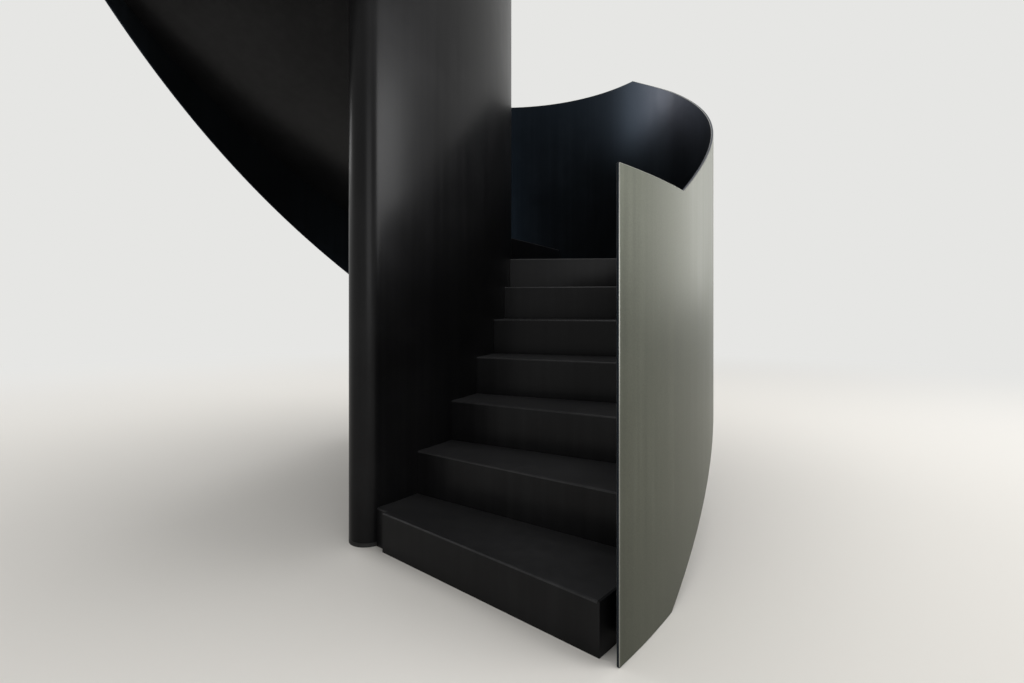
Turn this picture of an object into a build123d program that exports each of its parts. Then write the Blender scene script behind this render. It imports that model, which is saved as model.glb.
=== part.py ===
from build123d import *
import math
import os

# Spiral stair of blackened steel plate, wound round a hollow core of lens-shaped plan.
# The origin is on the floor at the middle of the core, +Y towards the back nose, +Z up.

# Plan: two side arcs about centres on the X axis, closed by two end arcs about centres on the Y axis
side_centre = 1880.0        # X of the side arcs' centres
end_centre = 730.0          # Y of the end arcs' centres
start_angle = -22.2         # first riser, seen from the centre of the right side arc

# Offsets from the base line of the plan
core_face = 77.0            # outer face of the core, which is the nose radius
core_plate = 8.0
step_end = 1090.0           # outer end of the steps
guard_face = 1150.0         # outer face of the guard
guard_plate = 10.0
seat = 0.3                  # clearance where a curved face meets a curved face

# Rises and goings, the goings measured along the guard's outer face
first_rise = 148.0
rise = 175.5
lower_going = 339.0
lower_treads = 6
landing_going = 1623.0
back_going = 752.0
back_treads = 2
upper_going = 445.0
upper_treads = 6
top_going = 799.0
top_treads = 2

# Plates
step_plate = 8.0
soffit_plate = 8.0
foot_plate = 15.0
flange_plate = 15.0

# Guard and soffit
guard_start_height = 1289.0
guard_over_pitch = 907.0    # upper edge over the line of the nosings
guard_under_pitch = 320.0   # lower edge under the line of the nosings, first flight
guard_over_landing = 1395.0
guard_left_run = 5443.0     # where the lower edge leaves its level stretch
guard_left_slope = 0.592
guard_lip = 12.0            # least depth of the guard below the soffit
lower_soffit_drop = 45.0    # soffit below the inner corners of the steps
upper_soffit_drop = 110.0
landing_depth = 95.0        # top of the landing to the underside of its soffit

# First step: its riser stops short of the core, with a set-back filler between
toe_gap = 60.0
toe_setback = 18.0

# Floor anchors in the foot plate and bolts in the top flange
anchor_hole = 18.0
anchor_across = 180.0
anchor_along = 700.0
bolt_hole = 18.0
bolt_pitch = 300.0
bolt_count = 3

# Making of the curved plates
longest_cut = 300.0         # longest stretch that one sloping cut trims
least_stretch = 0.5         # stretches between two marks are longer than this
trim = 5.0                  # what a sloping cut takes off at least
helix_count = 8             # stretches between the points on an edge of a helicoid
fold_turn = 4.0             # greatest turn between two folds round a nose, in degrees
ring_count = 5              # facets from the core to the cheeks, each wider than the last
same = 1e-6                 # heights and runs closer than this are one

os.makedirs("parts", exist_ok=True)

side_radius = math.hypot(side_centre, end_centre)
side_angle = math.degrees(math.atan2(end_centre, side_centre))

# Zones in the order of ascent: centre, base radius, first and last angle
zones = [
    ((-side_centre, 0.0), side_radius, start_angle, side_angle),
    ((0.0, end_centre), 0.0, side_angle, 180 - side_angle),
    ((side_centre, 0.0), side_radius, 180 - side_angle, 180 + side_angle),
    ((0.0, -end_centre), 0.0, 180 + side_angle, 360 - side_angle),
]


def zone_run(zone):
    return math.radians(zone[3] - zone[2]) * (zone[1] + guard_face)


zone_starts = [sum(zone_run(zone) for zone in zones[:i]) for i in range(len(zones) + 1)]


goings = [lower_going] * lower_treads + [landing_going] + [back_going] * back_treads
goings += [upper_going] * upper_treads + [top_going] * top_treads
risers = [sum(goings[:i]) for i in range(len(goings) + 1)]
total_run = risers[-1]


def tread_top(number):
    return first_rise + (number - 1) * rise


def angle_at(index, run):
    zone = zones[index]
    return zone[2] + math.degrees((run - zone_starts[index]) / (zone[1] + guard_face))


def zone_of(run):
    for index in range(len(zones)):
        if run < zone_starts[index + 1] - same:
            return index
    return len(zones) - 1


def point_at(run, offset, index=None):
    index = zone_of(run) if index is None else index
    (x, y), base, _, _ = zones[index]
    angle = math.radians(angle_at(index, run))
    return Vector(x + (base + offset) * math.cos(angle), y + (base + offset) * math.sin(angle), 0)


def height_at(profile, run):
    for (run_a, z_a), (run_b, z_b) in zip(profile, profile[1:]):
        if run <= run_b + same:
            return z_a + (z_b - z_a) * (run - run_a) / (run_b - run_a)
    return profile[-1][1]


# Height profiles along the run
lower_pitch = rise / lower_going
upper_pitch = rise / upper_going
riser_upper = lower_treads + 1 + back_treads    # index of the riser where the upper flight starts
riser_top = riser_upper + upper_treads          # index of the riser where the top winders start
upper_run, top_run = risers[riser_upper], risers[riser_top]
upper_top, winder_top = tread_top(riser_upper + 1), tread_top(riser_top + 1)
landing_top = tread_top(lower_treads + 1)
top_rise = top_treads * rise

guard_base = first_rise + guard_over_pitch
guard_level = landing_top + guard_over_landing
guard_top = [
    (0.0, guard_start_height),
    ((guard_start_height - guard_base) / lower_pitch, guard_start_height),
    ((guard_level - guard_base) / lower_pitch, guard_level),
    (upper_run - (upper_top + guard_over_pitch - guard_level) / upper_pitch, guard_level),
    (top_run, winder_top + guard_over_pitch),
    (total_run, winder_top + guard_over_pitch + top_rise),
]

soffit_base = first_rise - rise - lower_soffit_drop
soffit_start = -soffit_base / lower_pitch
soffit_level = landing_top - landing_depth
upper_soffit = upper_top - rise - upper_soffit_drop
winder_soffit = winder_top - rise - upper_soffit_drop
soffit_low = [
    (soffit_start, 0.0),
    ((soffit_level - soffit_base) / lower_pitch, soffit_level),
    (upper_run - (upper_soffit - soffit_level) / upper_pitch, soffit_level),
    (top_run, winder_soffit),
    (total_run, winder_soffit + top_rise),
]

guard_foot = soffit_level - guard_lip
left_soffit = upper_soffit + (guard_left_run - upper_run) * upper_pitch
lip_run = guard_left_run + (left_soffit - guard_lip - guard_foot) / (guard_left_slope - upper_pitch)
guard_low = [
    (0.0, 0.0),
    ((guard_under_pitch - first_rise) / lower_pitch, 0.0),
    ((guard_foot + guard_under_pitch - first_rise) / lower_pitch, guard_foot),
    (guard_left_run, guard_foot),
    (lip_run, guard_foot + (lip_run - guard_left_run) * guard_left_slope),
    (top_run, winder_soffit - guard_lip),
    (total_run, winder_soffit + top_rise - guard_lip),
]
core_height = guard_top[-1][1]


def cuts_between(run_a, run_b, *profiles):
    """Runs where a zone or a slope changes, between two runs."""
    marks = {run_a, run_b}
    for run in zone_starts[1:-1] + [run for profile in profiles for run, _ in profile]:
        if run_a + least_stretch < run < run_b - least_stretch:
            marks.add(run)
    return sorted(marks)


def sector(run_a, run_b, inner, outer, height):
    """A flat ring sector of the plan between two runs, as a sketch at a height."""
    marks = cuts_between(run_a, run_b)
    pairs = list(zip(marks, marks[1:]))
    with BuildSketch(Plane.XY.offset(height)) as sketch:
        with BuildLine():
            for offset in (inner, outer):
                for a, b in pairs:
                    index = zone_of((a + b) / 2)
                    centre, base, _, _ = zones[index]
                    turn = angle_at(index, b) - angle_at(index, a)
                    CenterArc(centre, base + offset, angle_at(index, a), turn)
            for run in (run_a, run_b):
                index = zone_of(run - least_stretch if run == run_b else run)
                Line(point_at(run, inner, index), point_at(run, outer, index))
        make_face()
    return sketch.sketch


def slope_plane(run_a, run_b, z_a, z_b, offset):
    """The plane through a sloping edge, level across the plate."""
    index = zone_of((run_a + run_b) / 2)
    a = point_at(run_a, offset, index) + Vector(0, 0, z_a)
    b = point_at(run_b, offset, index) + Vector(0, 0, z_b)
    middle = math.radians(angle_at(index, (run_a + run_b) / 2))
    across = Vector(math.cos(middle), math.sin(middle), 0)
    return Plane(origin=a, x_dir=across, z_dir=across.cross(b - a))


def band(run_a, run_b, inner, outer, low, top):
    """Upright curved plate between a lower and an upper height profile."""
    ends = cuts_between(run_a, run_b, low, top)
    marks = []
    for a, b in zip(ends, ends[1:]):
        pieces = math.ceil((b - a) / longest_cut)
        marks += [a + (b - a) * i / pieces for i in range(pieces)]
    marks.append(run_b)
    middle = (inner + outer) / 2
    with BuildPart() as plate:
        for a, b in zip(marks, marks[1:]):
            low_a, low_b = height_at(low, a), height_at(low, b)
            top_a, top_b = height_at(top, a), height_at(top, b)
            low_slopes, top_slopes = abs(low_a - low_b) > same, abs(top_a - top_b) > same
            floor = min(low_a, low_b) - (trim if low_slopes else 0)
            ceiling = max(top_a, top_b) + (trim if top_slopes else 0)
            with BuildPart(mode=Mode.PRIVATE) as piece:
                extrude(sector(a, b, inner, outer, floor), amount=ceiling - floor)
                if low_slopes:
                    split(bisect_by=slope_plane(a, b, low_a, low_b, middle), keep=Keep.TOP)
                if top_slopes:
                    split(bisect_by=slope_plane(a, b, top_a, top_b, middle), keep=Keep.BOTTOM)
            add(piece.part)
    return plate.part


def level(height):
    return [(0.0, height), (total_run, height)]


def save(part, name):
    part.label = name
    export_step(part, f"parts/{name}.step")


# Core: foot plate, two side walls, two noses and a cap
def lens(offset, height):
    with BuildSketch(Plane.XY.offset(height)) as sketch:
        with BuildLine():
            CenterArc((-side_centre, 0), side_radius + offset, -side_angle, 2 * side_angle)
            CenterArc((0, end_centre), offset, side_angle, 180 - 2 * side_angle)
            CenterArc((side_centre, 0), side_radius + offset, 180 - side_angle, 2 * side_angle)
            CenterArc((0, -end_centre), offset, 180 + side_angle, 180 - 2 * side_angle)
        make_face()
    return sketch.sketch


with BuildPart() as core_foot:
    extrude(lens(core_face, 0), amount=foot_plate)
    with Locations((0, 0, foot_plate)):
        with GridLocations(anchor_across, anchor_along, 2, 2):
            Hole(anchor_hole / 2, foot_plate)
save(core_foot.part, "core_foot_plate")

wall_bottom = foot_plate
wall_top = core_height - step_plate
core_walls = {
    "core_right_wall": ((-side_centre, 0), side_radius, -side_angle, 2 * side_angle),
    "core_back_nose": ((0, end_centre), 0, side_angle, 180 - 2 * side_angle),
    "core_left_wall": ((side_centre, 0), side_radius, 180 - side_angle, 2 * side_angle),
    "core_front_nose": ((0, -end_centre), 0, 180 + side_angle, 180 - 2 * side_angle),
}
for name, (centre, base, angle, turn) in core_walls.items():
    with BuildPart() as core_wall:
        with BuildSketch(Plane.XY.offset(wall_bottom)):
            with BuildLine():
                outer_arc = CenterArc(centre, base + core_face, angle, turn)
                inner_arc = CenterArc(centre, base + core_face - core_plate, angle, turn)
                Line(outer_arc @ 0, inner_arc @ 0)
                Line(outer_arc @ 1, inner_arc @ 1)
            make_face()
        extrude(amount=wall_top - wall_bottom)
    save(core_wall.part, name)

with BuildPart() as core_cap:
    extrude(lens(core_face, wall_top), amount=step_plate)
save(core_cap.part, "core_cap")


# Steps: each is a folded plate, a riser and a tread, with a cheek that closes its outer end
def riser_plate(run, inner, outer, setback, thickness, low, top):
    """A flat plate across the stair, behind the line of a riser."""
    index = zone_of(run - least_stretch)
    angle = math.radians(angle_at(index, run))
    ahead = Vector(-math.sin(angle), math.cos(angle), 0)
    near, far = point_at(run, inner, index), point_at(run, outer, index)
    corners = [near + ahead * setback, far + ahead * setback,
               far + ahead * (setback + thickness), near + ahead * (setback + thickness)]
    with BuildSketch(Plane.XY.offset(low)) as sketch:
        with BuildLine():
            Polyline(*[(c.X, c.Y) for c in corners], close=True)
        make_face()
    extrude(sketch.sketch, amount=top - low)


step_inner = core_face + seat
toe = step_inner + toe_gap
soffit_rise = soffit_plate + seat
soffit_top = [(0.0, 0.0), (soffit_start - soffit_rise / lower_pitch, 0.0)]
soffit_top += [(run, z + soffit_rise) for run, z in soffit_low[1:]]

for number in range(1, len(risers)):
    run_a, run_b = risers[number - 1], risers[number]
    under = tread_top(number) - step_plate
    below = tread_top(number - 1) - step_plate if number > 1 else 0.0
    with BuildPart() as step:
        if number > 1:
            riser_plate(run_a, step_inner, step_end, 0, step_plate, below, under)
        else:
            riser_plate(run_a, toe, step_end, 0, step_plate, below, under)
            riser_plate(run_a, toe, toe + step_plate, 0, toe_setback, below, under)
            riser_plate(run_a, step_inner, toe + step_plate, toe_setback, step_plate, below, under)
        extrude(sector(run_a, run_b, step_inner, step_end, under), amount=step_plate)
        if number == 1:
            with BuildPart(mode=Mode.PRIVATE) as notch:
                riser_plate(run_a, step_inner - trim, toe, -trim, toe_setback + trim, under - trim,
                            under + step_plate + trim)
            add(notch.part, mode=Mode.SUBTRACT)
        add(band(run_a, run_b, step_end - step_plate, step_end, soffit_top, level(under)))
    save(step.part, f"step_{number:02d}")

# Top flange: the last riser, a plate that is bolted to the edge of the upper floor
soffit_outer = guard_face - guard_plate - seat
flange_low = height_at(soffit_low, total_run)
flange_high = tread_top(len(risers))
flange_middle = (flange_low + flange_high) / 2
with BuildPart() as top_flange:
    riser_plate(total_run, step_inner, soffit_outer, 0, flange_plate, flange_low, flange_high)
    flange_angle = math.radians(angle_at(3, total_run))
    flange_centre = point_at(total_run, (step_inner + soffit_outer) / 2, 3) + Vector(0, 0, flange_middle)
    across = (math.cos(flange_angle), math.sin(flange_angle), 0)
    down_the_stair = (math.sin(flange_angle), -math.cos(flange_angle), 0)
    with Locations(Plane(origin=flange_centre, x_dir=across, z_dir=down_the_stair)):
        with GridLocations(bolt_pitch, 1, bolt_count, 1):
            Hole(bolt_hole / 2, flange_plate)
save(top_flange.part, "top_flange")


# Soffit: level across everywhere, a rolled helicoid under the side flights, folded round the noses
def soffit_point(index, run, offset, above=0.0):
    return point_at(run, offset, index) + Vector(0, 0, height_at(soffit_low, run) + above)


def helicoid_plate(index, run_a, run_b):
    runs = [run_a + (run_b - run_a) * i / helix_count for i in range(helix_count + 1)]
    edges = []
    for offset in (step_inner, soffit_outer):
        with BuildLine() as edge:
            Spline(*[soffit_point(index, run, offset) for run in runs])
        edges.append(edge.edge())
    return extrude(Face.make_surface_from_curves(*edges), amount=soffit_plate, dir=(0, 0, 1))


def facet(*corners):
    return Face(Wire.make_polygon(corners, close=True))


def folded_plate(index, run_a, run_b):
    """Flat triangles between level folds, for the twist of a nose is too tight to roll."""
    folds = math.ceil((angle_at(index, run_b) - angle_at(index, run_a)) / fold_turn)
    runs = [run_a + (run_b - run_a) * i / folds for i in range(folds + 1)]
    widening = ((step_end - step_plate / 2) / step_inner) ** (1 / ring_count)
    offsets = [step_inner * widening ** i for i in range(ring_count + 1)] + [soffit_outer]
    under, over = [[[soffit_point(index, run, offset, above) for offset in offsets] for run in runs]
                   for above in (0.0, soffit_plate)]
    facets = []
    for i in range(folds):
        for side in (under, over):
            for j in range(len(offsets) - 1):
                inner_a, outer_a = side[i][j:j + 2]
                inner_b, outer_b = side[i + 1][j:j + 2]
                facets += [facet(inner_a, outer_a, outer_b), facet(inner_a, outer_b, inner_b)]
        for j in (0, -1):
            facets.append(facet(under[i][j], under[i + 1][j], over[i + 1][j], over[i][j]))
    for i in (0, -1):
        for j in range(len(offsets) - 1):
            facets.append(facet(under[i][j], under[i][j + 1], over[i][j + 1], over[i][j]))
    return Solid(Shell(facets))


def soffit_piece(run_a, run_b):
    index = zone_of((run_a + run_b) / 2)
    z_a, z_b = height_at(soffit_low, run_a), height_at(soffit_low, run_b)
    if abs(z_a - z_b) < same:
        return extrude(sector(run_a, run_b, step_inner, soffit_outer, z_a), amount=soffit_plate)
    nose = zones[index][1] == 0
    return folded_plate(index, run_a, run_b) if nose else helicoid_plate(index, run_a, run_b)


soffit_ends = {
    "soffit_right": (soffit_start, zone_starts[1]),
    "soffit_back": (zone_starts[1], zone_starts[2]),
    "soffit_left": (zone_starts[2], zone_starts[3]),
    "soffit_front": (zone_starts[3], total_run),
}
for name, (run_a, run_b) in soffit_ends.items():
    marks = cuts_between(run_a, run_b, soffit_low)
    stretches = [soffit_piece(a, b) for a, b in zip(marks, marks[1:])]
    with BuildPart() as soffit:
        add(stretches)
    save(soffit.part, name)

# Guard: curved upright plates, welded end to end
guard_parts = {"guard_right": (0, 3), "guard_back": (1, 5), "guard_left": (2, 3), "guard_front": (3, 3)}
for name, (index, count) in guard_parts.items():
    run_a = zone_starts[index]
    run_b = min(zone_starts[index + 1], total_run)
    length = (run_b - run_a) / count
    for i in range(count):
        part = band(run_a + i * length, run_a + (i + 1) * length, guard_face - guard_plate, guard_face,
                    guard_low, guard_top)
        save(part, f"{name}_{i + 1}")
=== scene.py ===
import bpy
import bmesh
import math
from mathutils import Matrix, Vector


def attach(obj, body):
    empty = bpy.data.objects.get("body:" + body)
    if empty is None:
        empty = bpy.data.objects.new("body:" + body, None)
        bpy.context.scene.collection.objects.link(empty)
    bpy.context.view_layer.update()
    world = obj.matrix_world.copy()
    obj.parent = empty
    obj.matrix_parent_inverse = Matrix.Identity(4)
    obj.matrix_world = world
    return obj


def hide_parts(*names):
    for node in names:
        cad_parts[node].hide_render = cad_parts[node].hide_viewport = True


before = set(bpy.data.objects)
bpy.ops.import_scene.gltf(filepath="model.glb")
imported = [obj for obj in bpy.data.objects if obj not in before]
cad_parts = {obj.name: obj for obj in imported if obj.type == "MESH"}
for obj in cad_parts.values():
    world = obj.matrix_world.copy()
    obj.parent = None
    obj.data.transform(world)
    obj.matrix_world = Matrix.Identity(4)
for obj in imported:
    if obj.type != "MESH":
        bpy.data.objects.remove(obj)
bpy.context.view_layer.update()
print("frame loaded,", len(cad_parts), "nodes")

# the stair's own sizes in metres, angles in degrees
stair = {
    "sideCentre": 1.880,
    "endCentre": 0.730,
    "startAngle": -22.2,
    "coreFace": 0.077,
    "corePlate": 0.008,
    "footPlate": 0.015,
    "stepEnd": 1.090,
    "guardFace": 1.150,
    "guardPlate": 0.010,
    "seat": 0.0003,
    "plate": 0.008,
    "firstRise": 0.148,
    "rise": 0.1755,
    "goings": [0.339] * 6 + [1.623] + [0.752] * 2 + [0.445] * 6 + [0.799] * 2,
    "toeGap": 0.060,
    "toeSetback": 0.018,
}
landingNumber, upperNumber, winderNumber = 7, 10, 16  # steps where the stair changes its pitch
up = Vector((0, 0, 1))
touching = 1e-9  # runs closer than this are one

sideRadius = math.hypot(stair["sideCentre"], stair["endCentre"])
sideAngle = math.degrees(math.atan2(stair["endCentre"], stair["sideCentre"]))
zones = [
    (Vector((-stair["sideCentre"], 0, 0)), sideRadius, stair["startAngle"], sideAngle),
    (Vector((0, stair["endCentre"], 0)), 0.0, sideAngle, 180 - sideAngle),
    (Vector((stair["sideCentre"], 0, 0)), sideRadius, 180 - sideAngle, 180 + sideAngle),
    (Vector((0, -stair["endCentre"], 0)), 0.0, 180 + sideAngle, 360 - sideAngle),
]
zoneStarts = [0.0]
for centre, radius, first, last in zones:
    zoneStarts.append(zoneStarts[-1] + math.radians(last - first) * (radius + stair["guardFace"]))
risers = [sum(stair["goings"][:i]) for i in range(len(stair["goings"]) + 1)]
totalRun = risers[-1]


def treadTop(number):
    return stair["firstRise"] + (number - 1) * stair["rise"]


def zoneAngle(run):
    index = max(i for i in range(len(zones)) if run >= zoneStarts[i] - touching)
    centre, radius, first, last = zones[index]
    return index, math.radians(first) + (run - zoneStarts[index]) / (radius + stair["guardFace"])


def outwardAt(run):
    angle = zoneAngle(run)[1]
    return Vector((math.cos(angle), math.sin(angle), 0))


def aheadAt(run):
    return up.cross(outwardAt(run))


def pointAt(run, offset, height=0.0):
    centre, radius = zones[zoneAngle(run)[0]][:2]
    return centre + outwardAt(run) * (radius + offset) + up * height


def heightAt(profile, run):
    for (runA, heightA), (runB, heightB) in zip(profile, profile[1:]):
        if run <= runB + touching:
            return heightA + (heightB - heightA) * (run - runA) / (runB - runA)
    return profile[-1][1]


# heights of the guard and the soffit along the run
lowerPitch = stair["rise"] / stair["goings"][0]
upperPitch = stair["rise"] / stair["goings"][upperNumber]
upperRun, winderRun = risers[upperNumber - 1], risers[winderNumber - 1]
topRise = treadTop(len(risers)) - treadTop(winderNumber)

guard = {
    "startHeight": 1.289,
    "overPitch": 0.907,
    "underPitch": 0.320,
    "overLanding": 1.395,
    "leftRun": 5.443,
    "leftSlope": 0.592,
    "lip": 0.012,
}
soffit = {
    "lowerDrop": 0.045,
    "upperDrop": 0.110,
    "landingDepth": 0.095,
}
soffitBase = stair["firstRise"] - stair["rise"] - soffit["lowerDrop"]
soffitStart = -soffitBase / lowerPitch
soffitLevel = treadTop(landingNumber) - soffit["landingDepth"]
upperSoffit = treadTop(upperNumber) - stair["rise"] - soffit["upperDrop"]
winderSoffit = treadTop(winderNumber) - stair["rise"] - soffit["upperDrop"]
soffitLow = [
    (soffitStart, 0.0),
    ((soffitLevel - soffitBase) / lowerPitch, soffitLevel),
    (upperRun - (upperSoffit - soffitLevel) / upperPitch, soffitLevel),
    (winderRun, winderSoffit),
    (totalRun, winderSoffit + topRise),
]
guardBase = stair["firstRise"] + guard["overPitch"]
guardLevel = treadTop(landingNumber) + guard["overLanding"]
guardTop = [
    (0.0, guard["startHeight"]),
    ((guard["startHeight"] - guardBase) / lowerPitch, guard["startHeight"]),
    ((guardLevel - guardBase) / lowerPitch, guardLevel),
    (upperRun - (treadTop(upperNumber) + guard["overPitch"] - guardLevel) / upperPitch, guardLevel),
    (winderRun, treadTop(winderNumber) + guard["overPitch"]),
    (totalRun, treadTop(winderNumber) + guard["overPitch"] + topRise),
]
guardFoot = soffitLevel - guard["lip"]
leftSoffit = upperSoffit + (guard["leftRun"] - upperRun) * upperPitch
lipRun = guard["leftRun"] + (leftSoffit - guard["lip"] - guardFoot) / (guard["leftSlope"] - upperPitch)
guardLow = [
    (0.0, 0.0),
    ((guard["underPitch"] - stair["firstRise"]) / lowerPitch, 0.0),
    ((guardFoot + guard["underPitch"] - stair["firstRise"]) / lowerPitch, guardFoot),
    (guard["leftRun"], guardFoot),
    (lipRun, guardFoot + (lipRun - guard["leftRun"]) * guard["leftSlope"]),
    (winderRun, winderSoffit - guard["lip"]),
    (totalRun, winderSoffit + topRise - guard["lip"]),
]
coreTop = guardTop[-1][1]


# materials
def linear(hexColour):
    channels = [int(hexColour[i:i + 2], 16) / 255 for i in (1, 3, 5)]
    return [c / 12.92 if c <= 0.04045 else ((c + 0.055) / 1.055) ** 2.4 for c in channels] + [1.0]


def addNode(tree, kind, inputs=None, **settings):
    node = tree.nodes.new(kind)
    for name, value in settings.items():
        setattr(node, name, value)
    for key, value in (inputs or {}).items():
        if isinstance(value, bpy.types.NodeSocket):
            tree.links.new(value, node.inputs[key])
        else:
            node.inputs[key].default_value = value
    return node


def ramp(tree, factor, stops):
    node = addNode(tree, "ShaderNodeValToRGB", {0: factor})
    while len(node.color_ramp.elements) < len(stops):
        node.color_ramp.elements.new(0.5)
    for element, (place, colour) in zip(node.color_ramp.elements, stops):
        element.position = place
        element.color = linear(colour) if isinstance(colour, str) else (colour, colour, colour, 1)
    return node.outputs[0]


def steelPlate(name, look):
    # hot rolled mild steel plate, blackened in a patina bath: a cloudy tone, faint upright run marks
    # from the bath, a fine mill grain, the slow waviness of rolled plate and a satin gleam
    material = bpy.data.materials.new(name)
    material.use_nodes = True
    tree = material.node_tree
    tree.nodes.clear()
    place = addNode(tree, "ShaderNodeTexCoord").outputs["Object"]
    clouds = addNode(tree, "ShaderNodeTexNoise", {
        "Vector": place, "Scale": 1 / look["cloudSize"], "Detail": 5.0, "Roughness": 0.55,
        "Distortion": 0.4})
    across, along = 1 / look["streakWidth"], 1 / look["streakLength"]
    upright = addNode(tree, "ShaderNodeMapping", {"Vector": place, "Scale": (across, across, along)})
    streaks = addNode(tree, "ShaderNodeTexNoise", {
        "Vector": upright.outputs[0], "Scale": 1.0, "Detail": 4.0, "Roughness": 0.6})
    grain = addNode(tree, "ShaderNodeTexNoise", {
        "Vector": place, "Scale": 1 / look["grainSize"], "Detail": 2.0, "Roughness": 0.5})
    mixed = addNode(tree, "ShaderNodeMix", {
        "Factor": look["streakShare"], "A": clouds.outputs[0], "B": streaks.outputs[0]}, data_type="FLOAT")
    low, high = look["toneRange"]
    tone = ramp(tree, mixed.outputs[0], [
        (low, look["dark"]), ((low + high) / 2, look["middle"]), (high, look["light"])])
    speck = addNode(tree, "ShaderNodeMapRange", {
        "Value": grain.outputs[0], "From Min": look["grainRange"][0], "From Max": look["grainRange"][1],
        "To Min": 1 - look["speck"], "To Max": 1 + look["speck"]})
    colour = addNode(tree, "ShaderNodeVectorMath", {0: tone, 1: speck.outputs[0]}, operation="MULTIPLY")
    gleam = addNode(tree, "ShaderNodeMapRange", {
        "Value": mixed.outputs[0], "From Min": look["gleamRange"][0], "From Max": look["gleamRange"][1],
        "To Min": look["roughness"] - look["smoother"], "To Max": look["roughness"] + look["rougher"]})
    wave = addNode(tree, "ShaderNodeTexNoise", {
        "Vector": place, "Scale": 1 / look["waveSize"], "Detail": 1.0})
    flat = addNode(tree, "ShaderNodeBump", {
        "Height": wave.outputs[0], "Distance": look["waveDepth"], "Strength": 1.0})
    bump = addNode(tree, "ShaderNodeBump", {
        "Height": grain.outputs[0], "Distance": look["grainDepth"], "Strength": 1.0,
        "Normal": flat.outputs[0]})
    shader = addNode(tree, "ShaderNodeBsdfPrincipled", {
        "Base Color": colour.outputs[0], "Roughness": gleam.outputs[0], "Normal": bump.outputs[0],
        "Metallic": look["metallic"], "Specular IOR Level": look["specular"],
        "Specular Tint": linear(look["sheen"]),
        "Coat Weight": look["wax"], "Coat Roughness": look["waxRoughness"]})
    addNode(tree, "ShaderNodeOutputMaterial", {"Surface": shader.outputs[0]})
    return material


# core, risers and soffit: nearly black, with a soft satin gleam from the wax, sizes in metres
blackened = {
    "dark": "#101011",
    "middle": "#161617",
    "light": "#1e1e1f",
    "toneRange": (0.32, 0.68),    # where the pattern is darkest and lightest
    "cloudSize": 0.55,
    "streakWidth": 0.040,
    "streakLength": 1.6,
    "streakShare": 0.35,
    "grainSize": 0.004,           # coarser than the real mill grain, which is too fine to show
    "grainDepth": 0.00005,
    "grainRange": (0.35, 0.65),
    "speck": 0.08,                # how much a grain is darker or lighter
    "waveSize": 0.6,
    "waveDepth": 0.0015,
    "roughness": 0.36,
    "smoother": 0.05,             # the dark places gleam more
    "rougher": 0.06,              # and the light ones less
    "gleamRange": (0.3, 0.7),
    "metallic": 0.30,
    "specular": 0.12,
    "sheen": "#cbcbcb",
    "wax": 0.10,
    "waxRoughness": 0.22,
}
# inside of the guard: the same black, its gleam tinted blue as a painted reflection of a blue sky
skySheenInside = dict(blackened, dark="#101112", middle="#151719", light="#1c1f22", specular=0.40, sheen="#6a97c2",
             wax=0.0)
# treads: the wax is walked off, so they are duller; their lighter tone is painted light, the tops lit from
# above more than the risers
troddenAndLit = dict(blackened, dark="#1e1e1f", middle="#262627", light="#2f2f30", roughness=0.46, wax=0.0)
# folds of the steps: a lighter band on the bend, a painted highlight that draws each nose as a fine line
noseHighlight = dict(blackened, dark="#222223", middle="#2d2d2e", light="#39393a", roughness=0.36,
                  specular=0.2, wax=0.0)
# outside of the guard: the same steel painted a lighter graphite grey, painted light falling on the outer
# face; metallic, with upright streaks
guardOutsideLit = dict(blackened, dark="#484a42", middle="#505249", light="#5a5c53", streakWidth=0.030,
                streakShare=0.5, roughness=0.42, metallic=0.85, sheen="#f3f3f0", wax=0.0)
# cut edges: rubbed nearly bright, and brighter still as a painted highlight on the bevels facing up, so that
# the plate's thickness reads as a light line
rubbedEdgeAndHighlight = dict(blackened, dark="#7a7a75", middle="#8f8f8a", light="#a4a49e", roughness=0.34, metallic=0.9,
                  sheen="#ffffff", wax=0.0)
# plates inside the core and at the upper floor: plain mill finish, matt and mid grey
hiddenPlate = dict(blackened, dark="#2a2a2a", middle="#383838", light="#464645", roughness=0.55, wax=0.0)

blackSteel = steelPlate("blackenedWaxedSteel", blackened)
skySheenSteel = steelPlate("guardInsidePaintedSkyReflection", skySheenInside)
treadSteel = steelPlate("troddenAndLitTreadSteel", troddenAndLit)
noseHighlightSteel = steelPlate("stepNosePaintedHighlight", noseHighlight)
litGuardSteel = steelPlate("guardOutsidePaintedLight", guardOutsideLit)
edgeAndHighlightSteel = steelPlate("rubbedSteelEdgeAndHighlight", rubbedEdgeAndHighlight)
plateSteel = steelPlate("plainMillSteel", hiddenPlate)
print("materials made")


# curved plates, swept along stations by a node tree
plateFaces = {
    "crispAngle": 30,       # edges that turn by more degrees than this stay crisp
    "outside": 0.9,         # an outer face looks outwards at least this squarely
    "bevel": 0.7,           # a bevel looks outwards or inwards about this squarely
    "bevelSpread": 0.15,
    "under": -0.3,          # a bevel that looks further down than this isn't rubbed and gets no painted highlight
}
sectionHeight = 1.0         # of any upright plate, since each point then goes to its own height


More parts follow.
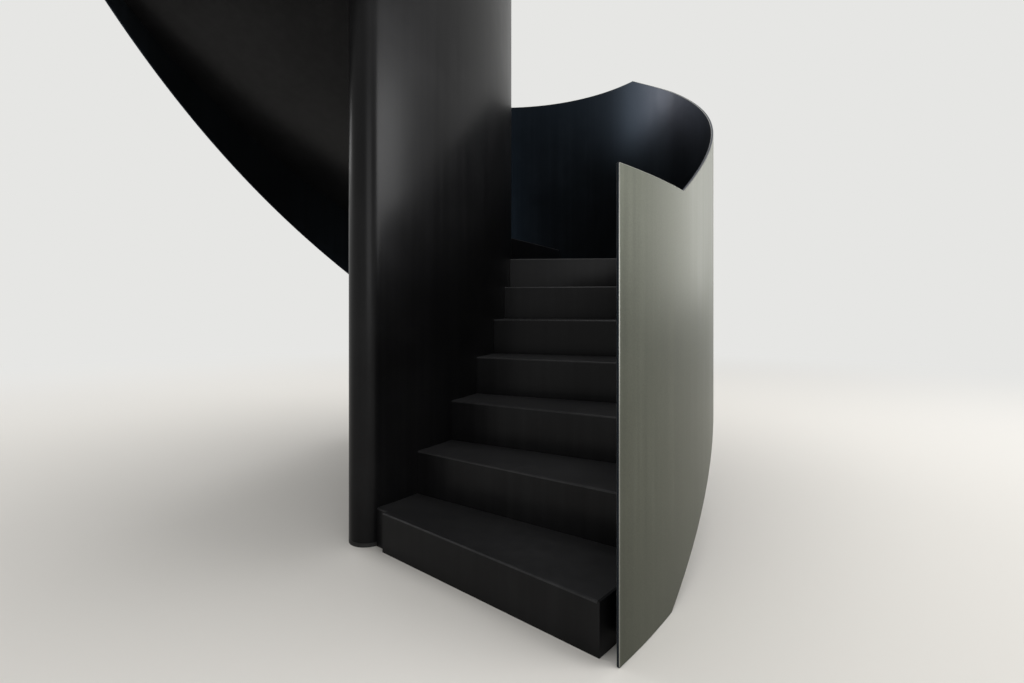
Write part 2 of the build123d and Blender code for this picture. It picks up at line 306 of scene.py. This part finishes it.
def makePlateTree():
    tree = bpy.data.node_groups.new("plateAlongRun", "GeometryNodeTree")
    sockets = [("Stations", "Geometry"), ("Inner", "Float"), ("Outer", "Float"), ("Height", "Float"),
               ("Chamfer", "Float"), ("Cuts", "Int"), ("Outside", "Material"), ("Inside", "Material"),
               ("Edge", "Material")]
    for name, kind in sockets:
        tree.interface.new_socket(name, in_out="INPUT", socket_type="NodeSocket" + kind)
    tree.interface.new_socket("Plate", in_out="OUTPUT", socket_type="NodeSocketGeometry")
    given = addNode(tree, "NodeGroupInput").outputs

    def calc(operation, a, b=0.0, c=0.0):
        return addNode(tree, "ShaderNodeMath", {0: a, 1: b, 2: c}, operation=operation).outputs[0]

    def store(geometry, name, value, kind):
        return addNode(tree, "GeometryNodeStoreNamedAttribute", {
            "Geometry": geometry, "Name": name, "Value": value}, data_type=kind, domain="POINT").outputs[0]

    def read(name, kind):
        return addNode(tree, "GeometryNodeInputNamedAttribute", {"Name": name}, data_type=kind).outputs[0]

    # the section, a rectangle with its corners cut
    section = addNode(tree, "GeometryNodeCurvePrimitiveQuadrilateral", {
        "Width": calc("SUBTRACT", given["Outer"], given["Inner"]), "Height": given["Height"]})
    cornered = addNode(tree, "GeometryNodeFilletCurve", {
        "Curve": section.outputs[0], "Count": 1, "Radius": given["Chamfer"]}, mode="POLY")
    divided = addNode(tree, "GeometryNodeSubdivideCurve", {
        "Curve": cornered.outputs[0], "Cuts": given["Cuts"]})
    place = addNode(tree, "GeometryNodeInputPosition").outputs[0]
    parts = addNode(tree, "ShaderNodeSeparateXYZ", {0: place}).outputs
    middle = calc("MULTIPLY", calc("ADD", given["Inner"], given["Outer"]), 0.5)
    profile = store(divided.outputs[0], "across", calc("ADD", parts["X"], middle), "FLOAT")
    profile = store(profile, "upright", parts["Y"], "FLOAT")
    rail = addNode(tree, "GeometryNodeMeshToCurve", {"Mesh": given["Stations"]}).outputs[0]
    rail = store(rail, "railPlace", place, "FLOAT_VECTOR")
    swept = addNode(tree, "GeometryNodeCurveToMesh", {
        "Curve": rail, "Profile Curve": profile, "Fill Caps": True}).outputs[0]
    swept = addNode(tree, "GeometryNodeFlipFaces", {"Mesh": swept}).outputs[0]

    # each point goes to its own offset and height
    inset, upright = read("inset", "FLOAT"), read("upright", "FLOAT")
    low = calc("ADD", read("lowEdge", "FLOAT"), inset)
    high = calc("SUBTRACT", read("topEdge", "FLOAT"), inset)
    across = calc("MAXIMUM", read("across", "FLOAT"), calc("ADD", given["Inner"], inset))
    across = calc("MINIMUM", across, calc("SUBTRACT", given["Outer"], inset))
    half = calc("MULTIPLY", calc("SUBTRACT", high, low), 0.5)
    halfHeight = calc("MULTIPLY", given["Height"], 0.5)
    overLow = calc("ADD", low, calc("MINIMUM", calc("ADD", halfHeight, upright), half))
    underTop = calc("SUBTRACT", high, calc("MINIMUM", calc("SUBTRACT", halfHeight, upright), half))
    height = addNode(tree, "GeometryNodeSwitch", {
        "Switch": calc("GREATER_THAN", upright, 0.0), "False": overLow, "True": underTop},
        input_type="FLOAT")
    outward = read("outward", "FLOAT_VECTOR")
    lifted = addNode(tree, "ShaderNodeCombineXYZ", {"Z": height.outputs[0]}).outputs[0]
    shifted = addNode(tree, "ShaderNodeVectorMath", {
        0: outward, 1: across, 2: read("railPlace", "FLOAT_VECTOR")}, operation="MULTIPLY_ADD")
    final = addNode(tree, "ShaderNodeVectorMath", {
        0: shifted.outputs[0], 1: lifted}, operation="ADD").outputs[0]
    moved = addNode(tree, "GeometryNodeSetPosition", {"Geometry": swept, "Position": final}).outputs[0]

    # smooth faces with crisp arrises
    angle = addNode(tree, "GeometryNodeInputMeshEdgeAngle").outputs["Unsigned Angle"]
    sharp = calc("GREATER_THAN", angle, math.radians(plateFaces["crispAngle"]))
    smooth = addNode(tree, "GeometryNodeSetShadeSmooth", {
        "Geometry": moved, "Shade Smooth": True}).outputs[0]
    crisp = addNode(tree, "GeometryNodeSetShadeSmooth", {
        "Geometry": smooth, "Selection": sharp, "Shade Smooth": False}, domain="EDGE").outputs[0]

    # outside, inside and rubbed edges: the outside takes the lighter grey of painted light, the inside a
    # blue painted reflection, and the upward bevels a painted highlight
    normal = addNode(tree, "GeometryNodeInputNormal").outputs[0]
    facing = addNode(tree, "ShaderNodeVectorMath", {
        0: normal, 1: outward}, operation="DOT_PRODUCT").outputs["Value"]
    rising = addNode(tree, "ShaderNodeSeparateXYZ", {0: normal}).outputs["Z"]
    outer = calc("GREATER_THAN", facing, plateFaces["outside"])
    askew = calc("COMPARE", calc("ABSOLUTE", facing), plateFaces["bevel"], plateFaces["bevelSpread"])
    rubbedAndHighlit = calc("MULTIPLY", askew, calc("GREATER_THAN", rising, plateFaces["under"]))
    painted = addNode(tree, "GeometryNodeRealizeInstances", {"Geometry": crisp}).outputs[0]
    for where, steel in ((True, "Inside"), (outer, "Outside"), (rubbedAndHighlit, "Edge")):
        painted = addNode(tree, "GeometryNodeSetMaterial", {
            "Geometry": painted, "Selection": where, "Material": given[steel]}).outputs[0]
    addNode(tree, "NodeGroupOutput", {"Plate": painted})
    return tree


plateTree = makePlateTree()


def stationMesh(name, places, closed):
    # places holds one (point, outward, low, top, inset) for each station
    mesh = bpy.data.meshes.new(name)
    count = len(places)
    edges = [(i, i + 1) for i in range(count - 1)] + ([(count - 1, 0)] if closed else [])
    mesh.from_pydata([place[0] for place in places], edges, [])
    attributes = (("outward", "FLOAT_VECTOR", 1), ("lowEdge", "FLOAT", 2), ("topEdge", "FLOAT", 3),
                  ("inset", "FLOAT", 4))
    for label, kind, column in attributes:
        layer = mesh.attributes.new(label, kind, "POINT")
        for item, place in zip(layer.data, places):
            if kind == "FLOAT":
                item.value = place[column]
            else:
                item.vector = place[column]
    return mesh


def sweepPlate(name, places, sizes, outside, inside, edge, closed=False):
    source = bpy.data.objects.new(name + "Stations", stationMesh(name + "Stations", places, closed))
    bpy.context.scene.collection.objects.link(source)
    modifier = source.modifiers.new("plate", "NODES")
    modifier.node_group = plateTree
    values = {"Outside": outside, "Inside": inside, "Edge": edge, **sizes}
    for socket in plateTree.interface.items_tree:
        if socket.in_out == "INPUT" and socket.name in values:
            modifier[socket.identifier] = values[socket.name]
    source.update_tag()
    graph = bpy.context.evaluated_depsgraph_get()
    graph.update()
    mesh = bpy.data.meshes.new_from_object(source.evaluated_get(graph))
    bpy.data.objects.remove(source)
    shape = bmesh.new()
    shape.from_mesh(mesh)
    bmesh.ops.recalc_face_normals(shape, faces=shape.faces)
    shape.to_mesh(mesh)
    shape.free()
    mesh.name = name
    for label in ("outward", "lowEdge", "topEdge", "inset", "across", "upright", "railPlace"):
        if label in mesh.attributes:
            mesh.attributes.remove(mesh.attributes[label])
    return mesh


def runsBetween(runA, runB, spacing, *profiles):
    # stations at an even spacing, with the places where a profile or the plan changes
    marks = {runA, runB}
    marks.update(run for run in zoneStarts if runA < run < runB)
    marks.update(run for profile in profiles for run, height in profile if runA < run < runB)
    marks = sorted(marks)
    runs = []
    for a, b in zip(marks, marks[1:]):
        count = max(1, math.ceil((b - a) / spacing))
        runs += [a + (b - a) * i / count for i in range(count)]
    return runs + [runB]


def stationsAlong(runs, offset, low, top):
    return [(pointAt(run, offset), outwardAt(run), low(run), top(run), 0.0) for run in runs]


def bevelEnds(places, bevel):
    # the first and last stations draw in, so that the plate's ends get the same small bevel
    for index in (0, -1):
        places[index] = places[index][:4] + (bevel,)


def addPiece(name, mesh, slot, *nodes):
    piece = bpy.data.objects.new(name, mesh)
    bpy.context.scene.collection.objects.link(piece)
    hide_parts(*nodes)
    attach(piece, "root")


def nodesNamed(start):
    return sorted(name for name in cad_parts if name.startswith(start))


# guard: one continuous wall of plate, its butt joints ground flush
guardWall = {
    "spacing": 0.025,
    "bevel": 0.002,
}
bevel = guardWall["bevel"]
runs = [0.0] + runsBetween(bevel, totalRun - bevel, guardWall["spacing"], guardLow, guardTop) + [totalRun]
places = stationsAlong(runs, stair["guardFace"], lambda run: heightAt(guardLow, run),
                       lambda run: heightAt(guardTop, run))
bevelEnds(places, bevel)
# the outside takes the lighter grey, painted light; the inside the black with a blue painted reflection;
# upward bevels a painted highlight
mesh = sweepPlate("guardWall", places, {
    "Inner": -stair["guardPlate"], "Outer": 0.0, "Height": sectionHeight, "Chamfer": bevel, "Cuts": 0},
    litGuardSteel, skySheenSteel, edgeAndHighlightSteel)
addPiece("guardWall", mesh, "guard_steel", *nodesNamed("guard_"))
print("guard made,", len(mesh.polygons), "faces")

# soffit: one smooth twisted skin under the flights, level across
soffitSkin = {
    "spacing": 0.030,
    "chamfer": 0.001,
    "cuts": 11,
}
runs = runsBetween(soffitStart, totalRun, soffitSkin["spacing"], soffitLow)
places = stationsAlong(runs, stair["guardFace"], lambda run: heightAt(soffitLow, run),
                       lambda run: heightAt(soffitLow, run) + stair["plate"])
mesh = sweepPlate("soffitSkin", places, {
    "Inner": stair["coreFace"] + stair["seat"] - stair["guardFace"],
    "Outer": -stair["guardPlate"] - stair["seat"], "Height": stair["plate"],
    "Chamfer": soffitSkin["chamfer"], "Cuts": soffitSkin["cuts"]}, blackSteel, blackSteel, blackSteel)
addPiece("soffitSkin", mesh, "soffit_steel", *nodesNamed("soffit_"))
print("soffit made,", len(mesh.polygons), "faces")

# core: a closed shell of lens plan
coreShell = {
    "sideStations": 64,
    "noseStations": 24,
    "chamfer": 0.001,
}
places = []
coreZones = [zones[0][:2] + (-sideAngle, sideAngle)] + zones[1:]
for centre, radius, first, last in coreZones:
    count = coreShell["sideStations"] if radius else coreShell["noseStations"]
    for i in range(count):
        angle = math.radians(first + (last - first) * i / count)
        outward = Vector((math.cos(angle), math.sin(angle), 0))
        places.append((centre + outward * (radius + stair["coreFace"]), outward, stair["footPlate"],
                       coreTop - stair["plate"], 0.0))
mesh = sweepPlate("coreShell", places, {
    "Inner": -stair["corePlate"], "Outer": 0.0, "Height": sectionHeight,
    "Chamfer": coreShell["chamfer"], "Cuts": 0}, blackSteel, blackSteel, blackSteel, closed=True)
coreWalls = [node for node in nodesNamed("core_") if "wall" in node or "nose" in node]
addPiece("coreShell", mesh, "core_steel", *coreWalls)
print("core made,", len(mesh.polygons), "faces")


# steps: riser and tread folded from one plate, and a cheek that closes the outer end
folded = {
    "bend": 0.006,
    "bendCuts": 4,
    "chamfer": 0.001,
    "spacing": 0.030,
    "sideStart": 1.5,       # in plate thicknesses, from the riser's face to the first point of a side
}
soffitRise = stair["plate"] + stair["seat"]
soffitTop = [(0.0, 0.0), (soffitStart - soffitRise / lowerPitch, 0.0)]
soffitTop += [(run, height + soffitRise) for run, height in soffitLow[1:]]
stepInner = stair["coreFace"] + stair["seat"]
cheekInner = stair["stepEnd"] - stair["plate"]


def frontPath(number):
    # the riser's line from the core outwards, each point with the way into the steel
    run = risers[number - 1]
    ahead, outward = aheadAt(run), outwardAt(run)
    inner, outer = pointAt(run, stepInner), pointAt(run, cheekInner)
    if number > 1:
        return [(inner, ahead), (outer, ahead)]
    toe = pointAt(run, stepInner + stair["toeGap"])
    back = ahead * stair["toeSetback"]
    return [(inner + back, ahead), (toe + back, ahead + outward), (toe, ahead + outward), (outer, ahead)]


def foldedPlate(shape, number):
    top = treadTop(number)
    under = top - stair["plate"]
    below = treadTop(number - 1) - stair["plate"] if number > 1 else 0.0
    runA, runB = risers[number - 1], risers[number]
    bend, plate = folded["bend"], stair["plate"]

    def corner(point, height):
        return shape.verts.new((point.x, point.y, height))

    path = frontPath(number)
    foot = [corner(p, below) for p, into in path]
    turns = [math.pi / 2 * i / folded["bendCuts"] for i in range(folded["bendCuts"] + 1)]
    rounds = [[corner(p + into * bend * (1 - math.cos(turn)), top - bend * (1 - math.sin(turn)))
               for p, into in path] for turn in turns]
    brow = rounds[-1]
    crook = [corner(p + into * plate, under) for p, into in path]
    heel = [corner(p + into * plate, below) for p, into in path]
    sides = []
    for offset, start in ((stepInner, path[0]), (cheekInner, path[-1])):
        clear = (start[0] - pointAt(runA, offset)).length + folded["sideStart"] * plate
        radius = zones[zoneAngle(runA)[0]][1]
        firstRun = runA + clear * (radius + stair["guardFace"]) / (radius + offset)
        runs = runsBetween(firstRun, runB, folded["spacing"])
        sides.append(([corner(pointAt(run, offset), top) for run in runs],
                      [corner(pointAt(run, offset), under) for run in runs]))
    (innerTop, innerUnder), (outerTop, outerUnder) = sides
    for i in range(len(path) - 1):
        for a, b in [(foot, rounds[0]), (crook, heel), (heel, foot)]:
            shape.faces.new((a[i], a[i + 1], b[i + 1], b[i]))
        # the bend's faces take the nose steel, a painted highlight along each nose
        for a, b in zip(rounds, rounds[1:]):
            shape.faces.new((a[i], a[i + 1], b[i + 1], b[i])).material_index = 2
    # the tread's top takes the tread steel, lighter as painted light from above
    shape.faces.new(brow + outerTop + innerTop[::-1]).material_index = 1
    shape.faces.new(crook + outerUnder + innerUnder[::-1])
    shape.faces.new((innerTop[-1], outerTop[-1], outerUnder[-1], innerUnder[-1]))
    for end, (upper, lower) in ((0, sides[0]), (-1, sides[1])):
        fold = [foot[end]] + [line[end] for line in rounds]
        shape.faces.new(fold + [upper[0], lower[0], crook[end], heel[end]])
        for i in range(len(upper) - 1):
            shape.faces.new((upper[i], upper[i + 1], lower[i + 1], lower[i]))


for number in range(1, len(risers)):
    runA, runB = risers[number - 1], risers[number]
    top = treadTop(number)
    runs = runsBetween(runA, runB, folded["spacing"], soffitTop)
    places = stationsAlong(runs, stair["guardFace"], lambda run: heightAt(soffitTop, run), lambda run: top)
    cheek = sweepPlate("cheek", places, {
        "Inner": cheekInner - stair["guardFace"], "Outer": stair["stepEnd"] - stair["guardFace"],
        "Height": stair["plate"], "Chamfer": folded["chamfer"], "Cuts": 0},
        blackSteel, blackSteel, blackSteel)
    mesh = bpy.data.meshes.new("step")
    # black steel, tread steel lighter as painted light from above, nose steel as a painted highlight
    for steel in (blackSteel, treadSteel, noseHighlightSteel):
        mesh.materials.append(steel)
    shape = bmesh.new()
    foldedPlate(shape, number)
    bmesh.ops.recalc_face_normals(shape, faces=shape.faces)
    for polygon in cheek.polygons:
        polygon.material_index = 0
    shape.from_mesh(cheek)
    shape.to_mesh(mesh)
    shape.free()
    mesh.shade_smooth()
    mesh.set_sharp_from_angle(angle=math.radians(plateFaces["crispAngle"]))
    addPiece(f"foldedStep{number:02d}", mesh, "step_steel", f"step_{number:02d}")
print("steps made,", len(risers) - 1)

# flat plates keep their own shape
for node in ("core_cap", "core_foot_plate", "top_flange"):
    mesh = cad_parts[node].data
    mesh.materials.clear()
    mesh.materials.append(blackSteel if node == "core_cap" else plateSteel)

# camera at the photo's place: eye 0.92 m up, level, wide lens
view = {
    "eye": (1.2638, -2.6276, 0.9243),
    "yaw": 19.316,
    "lens": 19.655,
    "shift": -0.0354,
}
camera = bpy.data.objects.new("camera", bpy.data.cameras.new("camera"))
bpy.context.scene.collection.objects.link(camera)
camera.location = view["eye"]
camera.rotation_euler = (math.radians(90), 0, math.radians(view["yaw"]))
camera.data.lens = view["lens"]
camera.data.shift_y = view["shift"]
bpy.context.scene.camera = camera

# pale studio: a floor that melts into the backdrop, and soft lamps
studio = {
    "floor": "#d9d6d1",
    "backdrop": "#e6e6e4",
    "worldLight": 0.50,
    "floorRoughness": 0.8,
    "floorSize": 60.0,
    "fadeStart": 2.5,
    "fadeEnd": 9.0,
}
floor = bpy.data.objects.new("floor", bpy.data.meshes.new("floor"))
reach = studio["floorSize"] / 2
floor.data.from_pydata([(-reach, -reach, 0), (reach, -reach, 0), (reach, reach, 0), (-reach, reach, 0)], [],
                       [(0, 1, 2, 3)])
bpy.context.scene.collection.objects.link(floor)
paint = bpy.data.materials.new("palePlaster")  # matt, so it takes a soft shadow and no gleam
paint.use_nodes = True
tree = paint.node_tree
tree.nodes.clear()
place = addNode(tree, "ShaderNodeTexCoord").outputs["Object"]
distance = addNode(tree, "ShaderNodeVectorMath", {0: place}, operation="LENGTH").outputs["Value"]
fade = addNode(tree, "ShaderNodeMapRange", {
    "Value": distance, "From Min": studio["fadeStart"], "From Max": studio["fadeEnd"]},
    interpolation_type="SMOOTHSTEP").outputs[0]
near = addNode(tree, "ShaderNodeBsdfPrincipled", {
    "Base Color": linear(studio["floor"]), "Roughness": studio["floorRoughness"]})
far = addNode(tree, "ShaderNodeEmission", {"Color": linear(studio["backdrop"]), "Strength": 1.0})
melted = addNode(tree, "ShaderNodeMixShader", {0: fade, 1: near.outputs[0], 2: far.outputs[0]})
addNode(tree, "ShaderNodeOutputMaterial", {"Surface": melted.outputs[0]})
floor.data.materials.append(paint)

# the backdrop at full strength where it is seen, also in the steel's gleam, and a dimmer fill light
world = bpy.data.worlds.new("studio")
world.use_nodes = True
tree = world.node_tree
tree.nodes.clear()
rays = addNode(tree, "ShaderNodeLightPath").outputs
seen = rays["Is Camera Ray"]
for ray in ("Is Glossy Ray", "Is Transmission Ray"):
    seen = addNode(tree, "ShaderNodeMath", {0: seen, 1: rays[ray]}, operation="MAXIMUM").outputs[0]
backdrop = addNode(tree, "ShaderNodeBackground", {"Color": linear(studio["backdrop"]), "Strength": 1.0})
ambient = addNode(tree, "ShaderNodeBackground", {
    "Color": linear(studio["backdrop"]), "Strength": studio["worldLight"]})
chosen = addNode(tree, "ShaderNodeMixShader", {0: seen, 1: ambient.outputs[0], 2: backdrop.outputs[0]})
addNode(tree, "ShaderNodeOutputWorld", {"Surface": chosen.outputs[0]})
bpy.context.scene.world = world

# places and sizes in metres, power in watts
lamps = {
    "softLeft": {"at": (-12.4, 4.4, 7.0), "aim": (0, 0.6, 1.8), "size": (13.0, 4.5), "power": 760},
    "softBack": {"at": (7.6, 10.2, 3.3), "aim": (1.0, -0.6, 1.2), "size": (5.0, 4.5), "power": 190},
    "softRight": {"at": (10.4, 0.2, 4.4), "aim": (0.3, -0.6, 1.8), "size": (6.4, 3.0), "power": 640},
    "softFront": {"at": (5.5, -9.0, 2.8), "aim": (0.3, -0.6, 1.4), "size": (4.5, 4.0), "power": 170},
    "overhead": {"at": (0.6, -0.2, 9.5), "aim": (0.6, -0.2, 0), "size": (8.0, 8.0), "power": 450},
}
for name, lamp in lamps.items():
    light = bpy.data.objects.new(name, bpy.data.lights.new(name, "AREA"))
    light.data.shape = "RECTANGLE"
    light.data.size, light.data.size_y = lamp["size"]
    light.data.energy = lamp["power"]
    light.location = lamp["at"]
    light.rotation_euler = (Vector(lamp["aim"]) - Vector(lamp["at"])).to_track_quat("-Z", "Y").to_euler()
    light.visible_camera = False
    bpy.context.scene.collection.objects.link(light)

bpy.context.scene.view_settings.view_transform = "Standard"
print("camera, room and lamps set")
